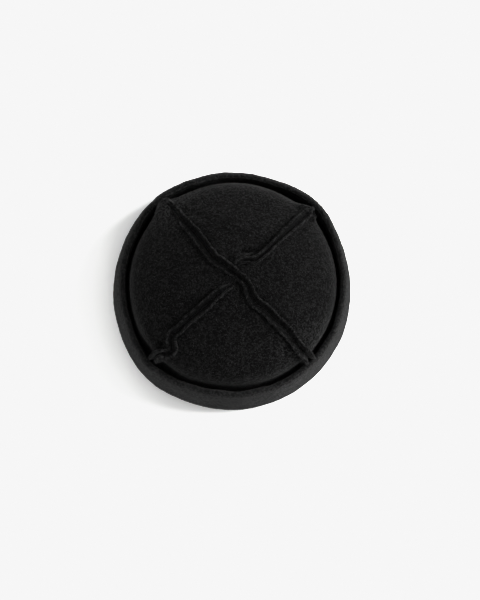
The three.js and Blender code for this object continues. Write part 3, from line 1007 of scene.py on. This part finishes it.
# %% The four panels
CORNER_LEVEL = 7.6          # past this the allowances show the brushed felt, without painted shade or paler cut edge
panel_rings = {}
first_seams = {}
for number, panel in enumerate(PANELS):
    rings, first_seams[panel] = panel_points(panel, 10 * number + 1)
    ring_count, ring_size = rings.shape[:2]
    first_cap, last_cap = panel_caps(ring_size, ring_count)
    faces = ring_faces(ring_count, ring_size, joined=False).tolist() + first_cap + last_cap
    felts = np.tile(panel_felts(ring_size), (ring_count - 1, 1))
    brushed_felt_rows = levels[:-1] > CORNER_LEVEL
    second_outline = OUTLINE_POINTS + COLUMNS + 1
    felts[brushed_felt_rows, :OUTLINE_POINTS] = 0
    felts[brushed_felt_rows, second_outline:second_outline + OUTLINE_POINTS] = 0
    felts = felts.reshape(-1).tolist()
    felts += [1] * (len(faces) - len(felts))
    felt = mesh_piece(panel.replace("crown_", "felt_"), rings, faces,
                      [crown_wool, shaded_inner_wool, cut_edge_highlight_wool], felts)
    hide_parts(panel)
    panel_rings[panel] = rings
    print(felt.name, "has", sum(len(face) - 2 for face in faces), "triangles")

# %% [markdown]
# ## The cuff
#
# The cuff is one band of felt folded double. Its two layers part a little between the bottom
# fold and the rim, so the band is built as the real strip: the middle line through the felt,
# thickened to both sides and carried once round the cap.

# %% Section of the cuff
CUFF_STEPS = 400                 # round the cap
CUFF_ROWS = 76                   # across the band, on each side
ROUND_END = (60, 90, 120)        # degrees round a cut edge of the band


def cuff_rings():
    """Rings round the section of the folded band, the section and its length."""
    rows, length = even_rows(lambda row: columns(smooth_table(CUFF_FOLD, row))[:2],
                             CUFF_FOLD[-1][0], CUFF_ROWS, samples=1500)
    out, up, push = columns(smooth_table(CUFF_FOLD, rows))
    across = unit(np.stack((np.gradient(up), -np.gradient(out)), -1)) * FELT / 2
    face = np.stack((out + across[:, 0], up + across[:, 1], push), -1)
    back = np.stack((out - across[:, 0], up - across[:, 1], push), -1)

    def round_end(row, sign):
        """Points round a cut edge, beyond the first or the last row."""
        along = np.array([-across[row, 1], across[row, 0]]) * sign
        return [(out[row] + math.cos(turn) * across[row, 0] + math.sin(turn) * along[0],
                 up[row] + math.cos(turn) * across[row, 1] + math.sin(turn) * along[1],
                 push[row]) for turn in np.radians(ROUND_END)]

    section = np.concatenate((face, round_end(-1, 1), back[::-1], round_end(0, -1)[::-1]))
    angle = np.linspace(0, 2 * np.pi, CUFF_STEPS, endpoint=False)[:, None]
    rings = cuff_point(angle, section[None, :, 0], section[None, :, 1], section[None, :, 2])
    return rings, section, length


cuff_points, cuff_section, fold_length = cuff_rings()
print("band is", round(float(fold_length), 1), "mm from edge to edge")

# %% [markdown]
# Real felt never stands in a perfect ring. The wall waves in and out a little and the rim rises
# and falls, both more slowly than the small lumps. The foot stays flat, because the cap rests
# on it.

# %% Waves of the cuff
WALL_WAVE = 0.6                  # how far the wall waves in and out, mm
WALL_WAVE_SIZE = 15
WALL_WAVES_FROM = (3, 12)        # height where they begin and over which they grow, mm
RIM_WAVE = 0.45                  # how far the rim rises and falls, mm
RIM_WAVE_SIZE = 24
RIM_WAVES_FROM = (20, 20)
RIM_WAVE_RADIUS = 90             # of the level circle on which the rim's wave is read, mm
CUFF_SEED = 70


def share_above(height, limits):
    """Rises from 0 to 1 over a stretch that starts at a height."""
    start, stretch = limits
    return np.clip((height - start) / stretch, 0, 1)


from_middle = unit(cuff_points * [1, 1, 0])
slow_waves = lumps(cuff_points * [1, 1, 0.5], WALL_WAVE_SIZE, CUFF_SEED) * WALL_WAVE
fine_lumps = lumps(cuff_points, LUMP_SIZE, CUFF_SEED + 1) * LUMP_DEPTH
wall_share = share_above(cuff_points[..., 2], WALL_WAVES_FROM)
cuff_points = cuff_points + from_middle * ((slow_waves + fine_lumps) * wall_share)[..., None]
rim_share = share_above(cuff_points[..., 2], RIM_WAVES_FROM)
level_circle = unit(cuff_points * [1, 1, 0]) * RIM_WAVE_RADIUS
cuff_points[..., 2] += lumps(level_circle, RIM_WAVE_SIZE, CUFF_SEED + 2) * RIM_WAVE * rim_share
cuff_points[..., 2] = np.maximum(cuff_points[..., 2], 0)
print("rim is up to", round(float(cuff_points[..., 2].max()), 1), "mm high")

# %% [markdown]
# The band shows its brushed side outside and over the rim, painted paler for the light on the
# upright wall. Just past the top of the rim the inner side begins, painted darker as the shade
# in the gap, so the rim ends in a clear line.

# %% Mesh of the cuff
LIT_SIDE_PAST_RIM = 2             # rows past the top of the rim where the paler outside ends and the painted shade begins
faces = ring_faces(CUFF_STEPS, cuff_points.shape[1], joined=True)
past_rim = np.argmax(cuff_section[:CUFF_ROWS, 1]) + LIT_SIDE_PAST_RIM
ring_felts = np.zeros(cuff_points.shape[1], dtype=int)
ring_felts[past_rim:] = 1
felt_cuff = mesh_piece("felt_cuff", cuff_points, faces[:, ::-1].tolist(), [lit_cuff_wool, shaded_inner_wool],
                       np.tile(ring_felts, CUFF_STEPS).tolist())
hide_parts("cuff")
print(felt_cuff.name, "has", 2 * len(faces), "triangles")

# %% [markdown]
# ## Thread
#
# Each seam is held by small lockstitches at the bottom of its valley. The thread is spun from
# two strands, too fine to model, so their twist is a fine noise in its colour and relief.

# %% Thread
THREAD_RADIUS = 0.2         # mm
THREAD_DARK = (0.006, 0.006, 0.007, 1)
THREAD_PALE = (0.019, 0.019, 0.02, 1)
THREAD_TWIST = 2600         # how many times the strands change in a metre


def thread_material(name):
    """Black spun thread: strands that differ in shade and stand up a little."""
    material = plain_material(name, THREAD_DARK, roughness=0.6)
    tree = material.node_tree
    shader = tree.nodes["Principled BSDF"]
    strands = noise_pattern(tree, THREAD_TWIST, detail=2, roughness=0.6, distortion=0.8)
    colour = two_tone(tree, strands, THREAD_DARK, THREAD_PALE)
    tree.links.new(colour, shader.inputs["Base Color"])
    tree.links.new(raised(tree, strands, THREAD_RADIUS / 2 * MM), shader.inputs["Normal"])
    return material


thread_black = thread_material("black_thread")
print("thread is", 2 * THREAD_RADIUS, "mm thick")

# %% [markdown]
# A stitch is built as a short rounded bar that crosses from one panel to the next: a few rings
# of points, narrower at both ends. A curve with a bevel would do for one stitch, but single
# stitches would be hundreds of objects, so all the bars are joined into one mesh.

# %% Bars of thread
THREAD_SIDES = 6
BAR_ENDS = ((-1, 0.35), (-0.8, 1), (0, 1.1), (0.8, 1), (1, 0.35))   # share of reach, of radius


def bars(centres, along, upwards, reach, radius):
    """Short rounded bars as joined meshes: points and faces."""
    sideways = np.cross(along, upwards)
    turns = np.linspace(0, 2 * np.pi, THREAD_SIDES, endpoint=False)
    circle = (np.cos(turns)[None, :, None] * upwards[:, None]
              + np.sin(turns)[None, :, None] * sideways[:, None])
    rings = [centres[:, None] + along[:, None] * reach * end + circle * radius * size
             for end, size in BAR_ENDS]
    points = np.stack(rings, axis=1)
    bar_size = len(BAR_ENDS) * THREAD_SIDES
    faces = []
    for number in range(len(centres)):
        base = number * bar_size
        quads = ring_faces(len(BAR_ENDS), THREAD_SIDES, joined=False) + base
        faces += quads.tolist()
        faces.append([base + i for i in range(THREAD_SIDES)])
        faces.append([base + bar_size - 1 - i for i in range(THREAD_SIDES)])
    return points, faces


# %% [markdown]
# A valley has a stitch about every three millimetres, from just outside the crossing to just
# above the lower edge. Each one lies across the seam, on the floor that the panel's first side
# has noted.

# %% Stitches in the valleys
STITCH_STEP = 3.2           # from one stitch to the next, mm
STITCH_REACH = 0.9          # half the length of a stitch, mm
STITCHES_FROM_ROW = 8       # the crossing itself is too tight for stitches to show
STITCHES_STOP_SHORT = 3     # rows left free at the lower edge
rows_per_stitch = max(1, round(STITCH_STEP * ROWS / crown_travel))
stitch_rows = np.arange(STITCHES_FROM_ROW, ROWS - STITCHES_STOP_SHORT, rows_per_stitch)
centres, along, upwards = [], [], []
for panel in PANELS:
    side = first_seams[panel]
    centres.append(side["valley"][stitch_rows] - side["inwards"][stitch_rows] * PANEL_GAP / 2)
    along.append(side["inwards"][stitch_rows])
    upwards.append(side["outwards"][stitch_rows])
points, faces = bars(np.concatenate(centres), np.concatenate(along), np.concatenate(upwards),
                     STITCH_REACH, THREAD_RADIUS)
seam_stitches = mesh_piece("seam_stitches", points, faces, [thread_black])
print("seam stitches:", len(stitch_rows) * len(PANELS))

# %% [markdown]
# ## The nap
#
# Close up, felt is never a hard surface: fibre ends stand off it everywhere, most of all along
# cut edges and folds. Hair particles would vanish on export, so the nap is a mesh of fine
# tapered spikes. First each spike is given a root: a face is drawn by lot, larger and rougher
# faces more often, and then a place on it. A fixed seed draws the same lots each time.

# %% Roots of the nap
chance = np.random.default_rng(42)


def fibre_roots(rings, density, count):
    """Random places on a ring mesh, and the way out of the felt there.

    Density is how thickly fibres stand on each column of the mesh."""
    a, b = rings[:-1, :-1], rings[:-1, 1:]
    c, d = rings[1:, 1:], rings[1:, :-1]
    normals = np.cross(c - a, b - d).reshape(-1, 3)
    areas = np.linalg.norm(normals, axis=1) * np.tile(density, len(rings) - 1)
    normals = unit(normals)
    picked = chance.choice(len(areas), count, p=areas / areas.sum())
    u, v = chance.random((2, count, 1))
    corners = [corner.reshape(-1, 3)[picked] for corner in (a, b, c, d)]
    roots = ((corners[0] * (1 - u) + corners[1] * u) * (1 - v)
             + (corners[3] * (1 - u) + corners[2] * u) * v)
    return roots, normals[picked]


# %% [markdown]
# A spike has three sides, a ring of points at its root, another where it bends, and a tip. That
# is the least that still looks round when it is a tenth of a millimetre thick, and with tens of
# thousands of spikes every face counts.

# %% Faces of the spikes
FIBRE_SIDES = 3


def spike_faces(count):
    """Four-sided and three-sided faces of so many spikes, one after another."""
    quads, ends = [], []
    for side_number in range(FIBRE_SIDES):
        beside = (side_number + 1) % FIBRE_SIDES
        quads.append([side_number, beside, FIBRE_SIDES + beside, FIBRE_SIDES + side_number])
        ends.append([FIBRE_SIDES + side_number, FIBRE_SIDES + beside, 2 * FIBRE_SIDES])
    ends.append([*range(FIBRE_SIDES)][::-1])
    base = np.arange(count)[:, None, None] * (2 * FIBRE_SIDES + 1)
    faces = (np.array(quads)[None] + base).reshape(-1, 4).tolist()
    return faces + (np.array(ends)[None] + base).reshape(-1, 3).tolist()


print("faces of one spike:", len(spike_faces(1)))

# %% [markdown]
# Each spike gets its own length, lean and bend. Fibres that stood straight up would look like a
# brush; matted wool lies nearly flat and curls. The spikes of one piece of felt are joined into
# one mesh, so that thousands of fibres are still a single piece.

# %% Nap fibres
FIBRE_LENGTH = 1.5          # mm
FIBRE_RADIUS = 0.1          # mm
FIBRE_SIZES = (0.35, 1.0)   # shares of the full length
SHORT_FIBRES = 1.5          # above 1, more of them are short
FIBRE_LEANS = (25, 80)      # degrees from upright
FIBRE_BEND = 0.7
FIBRE_RISE = 0.15           # how much their tips turn away from the felt again
FIBRE_ROOT = 0.12           # how deep they start in the felt, mm
BEND_AT = 0.55              # share of the length where a fibre bends
TAPER_AT_BEND = 0.75
LOWEST_FIBRE = 0.2          # height of the lowest fibre above the table, mm
fibre_wool = felt_material("raised_nap", pit=0.001, tuft=0.07, sheen=0.12)


def nap(name, rings, density, count):
    """Fine fibres on a ring mesh, joined into one piece."""
    roots, normal = fibre_roots(rings, density, count)
    stray = unit(chance.normal(size=(count, 3)))
    flat = unit(stray - normal * np.sum(stray * normal, axis=1, keepdims=True))
    size = FIBRE_LENGTH * chance.uniform(*FIBRE_SIZES, (count, 1)) ** SHORT_FIBRES
    lean = np.radians(chance.uniform(*FIBRE_LEANS, (count, 1)))
    start = normal * np.cos(lean) + flat * np.sin(lean)
    turned = unit(chance.normal(size=(count, 3)))
    bend = unit(start + FIBRE_BEND * turned + FIBRE_RISE * normal)
    side = unit(np.cross(start, normal))
    other = np.cross(start, side)
    turns = np.linspace(0, 2 * np.pi, FIBRE_SIDES, endpoint=False)
    circle = (np.cos(turns)[None, :, None] * side[:, None]
              + np.sin(turns)[None, :, None] * other[:, None]) * FIBRE_RADIUS
    roots = roots - normal * FIBRE_ROOT
    middle = roots + start * size * BEND_AT
    tip = middle + bend * size * (1 - BEND_AT)
    points = np.concatenate((roots[:, None] + circle, middle[:, None] + circle * TAPER_AT_BEND,
                             tip[:, None]), axis=1)
    points[..., 2] = np.maximum(points[..., 2], LOWEST_FIBRE)
    return mesh_piece(name, points, spike_faces(count), [fibre_wool])


# %% [markdown]
# Cut edges and the rim are the roughest places, so the nap stands four times as thick there. It
# stops where the cuff's brushed side ends, and at the foot, which the table has pressed flat.

# %% Nap on every piece
PANEL_FIBRES = 9000
CUFF_FIBRES = 16000
EDGE_DENSITY = 4            # how much thicker the nap stands on cut edges and on the rim
RIM_NAP_FROM = 31           # height from which the rim is brushed up, mm
FOOT_NAP_FROM = 2.5         # height below which the felt is pressed flat, mm
panel_density = np.array([1, 0, EDGE_DENSITY])[panel_felts(rings.shape[1])[:-1]]
for panel in PANELS:
    nap(panel.replace("crown_panel", "nap"), panel_rings[panel], panel_density,
                      PANEL_FIBRES)
section_up = cuff_section[:-1, 1]
outside = (section_up > FOOT_NAP_FROM) & (np.arange(len(section_up)) < past_rim)
cuff_density = np.where(section_up > RIM_NAP_FROM, EDGE_DENSITY, 1) * outside
nap("nap_cuff", cuff_points, cuff_density, CUFF_FIBRES)
print("fibres:", len(PANELS) * PANEL_FIBRES + CUFF_FIBRES)
